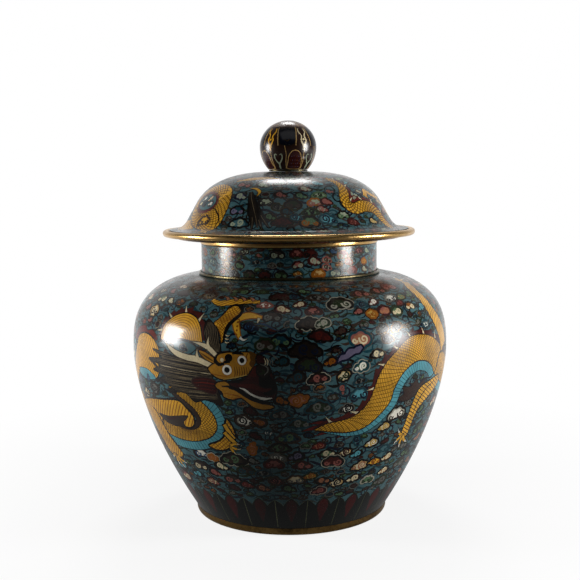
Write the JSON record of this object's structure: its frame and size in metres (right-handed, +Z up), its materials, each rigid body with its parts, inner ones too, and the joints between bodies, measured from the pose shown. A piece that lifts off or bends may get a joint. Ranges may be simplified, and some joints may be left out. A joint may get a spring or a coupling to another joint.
{
  "type": "covered cloisonne jar",
  "caption": "Covered jar of enamelled copper with a bulbous body, lotus petal band, short neck, gilt edges and a lift-off domed lid with a brim and ball finial.",
  "frame": {"origin": "on the table, under the middle of the foot", "axes": "+Z up along the jar's axis, -Y towards the viewer of the picture"},
  "size_m": [0.4172, 0.4172, 0.5199],
  "materials": {
    "gilt": "worn gilding on copper",
    "copper": "dull sheet copper",
    "turquoise_enamel": "polished fired enamel",
    "petal_enamel": "polished fired enamel",
    "finial_enamel": "polished fired enamel",
    "brass": "plain turned brass"
  },
  "bodies": {
    "jar": {"foot_rim": "gilt", "base_plate": "copper", "lower_body_shell": "copper", "shoulder_shell": "copper", "neck_tube": "copper", "neck_bead": "gilt", "mouth_rim": "gilt", "lower_body_enamel": "turquoise_enamel", "shoulder_enamel": "turquoise_enamel", "neck_enamel": "turquoise_enamel", "petal_enamel": "petal_enamel", "petal_wire": "gilt"},
    "lid": {"lid_shell": "copper", "lid_enamel": "turquoise_enamel", "lid_rim": "gilt", "lid_seat_ring": "copper", "lid_collar": "copper", "finial_collar": "gilt", "finial_lower_cup": "copper", "finial_upper_cup": "copper", "finial_enamel": "finial_enamel", "finial_stem": "brass", "finial_washer": "brass", "finial_nut": "brass"}
  },
  "joints": [
    {"name": "lid_lift", "type": "slide", "parent": "jar", "child": "lid", "axis": [0, 0, 1], "range_m": [0, 0.15]}
  ]
}
